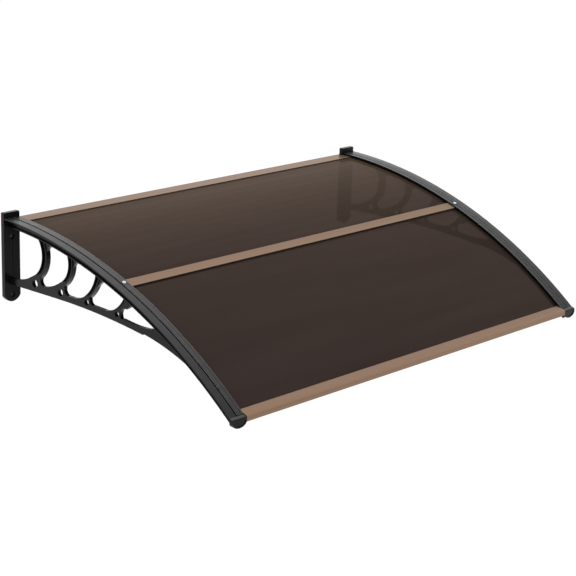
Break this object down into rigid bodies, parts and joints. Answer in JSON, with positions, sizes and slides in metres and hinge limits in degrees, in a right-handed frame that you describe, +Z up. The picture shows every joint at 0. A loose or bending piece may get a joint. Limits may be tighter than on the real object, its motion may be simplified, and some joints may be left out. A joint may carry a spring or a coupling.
{
  "type": "door canopy",
  "caption": "Curved door canopy: smoke-brown sheets held by champagne bars between two black moulded wall brackets with scrollwork.",
  "frame": {"origin": "on the wall plane, midway between the brackets, on the flat back of the rear bar", "axes": "+X to the right seen from the street, +Y into the wall, +Z up; the canopy reaches out along -Y"},
  "size_m": [1.2016, 0.798, 0.3025],
  "materials": {
    "bracket": "black moulded engineering plastic, satin",
    "cover_strip": "dark grey moulded plastic, satin",
    "sheet": "smoke-brown translucent polycarbonate, polished",
    "bar": "champagne anodised, fine lines along its length",
    "seal": "black, matte",
    "screw": "bright stainless"
  },
  "bodies": {
    "root": {"bracket_left": "bracket", "bracket_right": "bracket", "cover_strip_left": "cover_strip", "cover_strip_right": "cover_strip", "rear_sheet": "sheet", "front_sheet": "sheet", "rear_bar": "bar", "middle_bar": "bar", "front_bar": "bar", "wall_seal": "seal", "rear_sheet_seal": "seal", "middle_seal_upper": "seal", "middle_seal_lower": "seal", "front_sheet_seal": "seal", "screw_left": "screw", "screw_right": "screw"}
  },
  "joints": []
}
